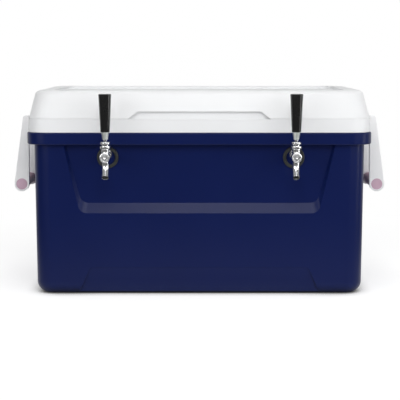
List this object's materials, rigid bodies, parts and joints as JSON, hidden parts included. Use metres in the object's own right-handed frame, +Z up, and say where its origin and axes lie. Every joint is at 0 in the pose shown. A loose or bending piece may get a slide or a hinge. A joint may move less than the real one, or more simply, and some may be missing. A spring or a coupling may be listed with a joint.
{
  "type": "jockey box beer cooler",
  "caption": "Insulated portable chest with a hinged lid, swing-up handles and front lever faucets that pour beer chilled by an ice-packed cold plate.",
  "frame": {"origin": "centre of the chest's footprint on the floor", "axes": "+Z up, faucets face -Y, +X to the right seen from the front"},
  "size_m": [0.804, 0.4785, 0.4273],
  "materials": {
    "navy_plastic": "lightly grained moulded polyethylene, navy",
    "white_plastic": "smooth moulded polyethylene, white",
    "liner_white": "smooth moulded liner, white",
    "foam": "closed-cell polyurethane foam",
    "grip_pink": "dusty pink moulded sleeve",
    "chrome": "polished chrome plate",
    "steel": "stainless steel",
    "black_plastic": "glossy black phenolic",
    "black_rubber": "matt black rubber",
    "cast_aluminium": "cast aluminium",
    "brass": "plain brass",
    "hose_clear": "milky vinyl hose"
  },
  "bodies": {
    "chest": {"body_foam": "foam", "body_liner": "liner_white", "body_shell": "navy_plastic", "bracket_screws": "steel", "cold_plate": "cast_aluminium", "coupling_nut_left": "chrome", "coupling_nut_right": "chrome", "drain_nut": "white_plastic", "drain_seal": "black_rubber", "drain_spout": "white_plastic", "faucet_body_left": "chrome", "faucet_body_right": "chrome", "faucet_bonnet_left": "chrome", "faucet_bonnet_right": "chrome", "faucet_plug_left": "chrome", "faucet_plug_right": "chrome", "handle_bracket_left": "white_plastic", "handle_bracket_right": "white_plastic", "handle_pivot_pins_left": "steel", "handle_pivot_pins_right": "steel", "hinge_leaves_body": "white_plastic", "hinge_pins": "steel", "hinge_screws_body": "steel", "hose_clamps": "steel", "inlet_fittings": "chrome", "inlet_line_left": "hose_clear", "inlet_line_right": "hose_clear", "inlet_nuts": "brass", "outlet_line_left": "hose_clear", "outlet_line_right": "hose_clear", "plate_fittings": "steel", "shank_left": "chrome", "shank_nuts": "brass", "shank_right": "chrome", "shank_washers": "black_rubber", "wall_ring_left": "black_rubber", "wall_ring_right": "black_rubber"},
    "lid": {"lid_shell": "white_plastic", "lid_liner": "liner_white", "lid_foam": "foam", "hinge_leaves_lid": "white_plastic", "hinge_screws_lid": "steel"},
    "drain_cap": {"drain_cap": "white_plastic"},
    "handle_left": {"handle_left": "white_plastic", "handle_grip_left": "grip_pink", "handle_end_caps_left": "grip_pink"},
    "lever_left": {"lever_stem_left": "chrome", "tap_ferrule_left": "chrome", "tap_handle_left": "black_plastic"},
    "valve_left": {"valve_shaft_left": "steel"},
    "handle_right": {"handle_right": "white_plastic", "handle_grip_right": "grip_pink", "handle_end_caps_right": "grip_pink"},
    "lever_right": {"lever_stem_right": "chrome", "tap_ferrule_right": "chrome", "tap_handle_right": "black_plastic"},
    "valve_right": {"valve_shaft_right": "steel"}
  },
  "joints": [
    {"name": "lid_hinge", "type": "hinge", "parent": "chest", "child": "lid", "pos_m": [0, 0.2085, 0.341], "axis": [-1, 0, 0], "range_deg": [0, 100]},
    {"name": "drain_cap_turn", "type": "hinge", "parent": "chest", "child": "drain_cap", "pos_m": [0.25, 0.189, 0.056], "axis": [0, 1, 0], "continuous": true},
    {"name": "handle_pivot_left", "type": "hinge", "parent": "chest", "child": "handle_left", "pos_m": [-0.3745, 0, 0.358], "axis": [0, 1, 0], "range_deg": [0, 175]},
    {"name": "lever_pivot_left", "type": "hinge", "parent": "chest", "child": "lever_left", "pos_m": [-0.1905, -0.242, 0.315], "axis": [1, 0, 0], "range_deg": [0, 24]},
    {"name": "valve_slide_left", "type": "slide", "parent": "chest", "child": "valve_left", "axis": [0, 1, 0], "range_m": [0, 0.00684]},
    {"name": "handle_pivot_right", "type": "hinge", "parent": "chest", "child": "handle_right", "pos_m": [0.3745, 0, 0.358], "axis": [0, -1, 0], "range_deg": [0, 175]},
    {"name": "lever_pivot_right", "type": "hinge", "parent": "chest", "child": "lever_right", "pos_m": [0.1965, -0.242, 0.315], "axis": [1, 0, 0], "range_deg": [0, 24]},
    {"name": "valve_slide_right", "type": "slide", "parent": "chest", "child": "valve_right", "axis": [0, 1, 0], "range_m": [0, 0.00684]}
  ],
  "couplings": [
    {"joint": "valve_slide_left", "follows": "lever_pivot_left", "m_per_rad": 0.016},
    {"joint": "valve_slide_right", "follows": "lever_pivot_right", "m_per_rad": 0.016}
  ]
}
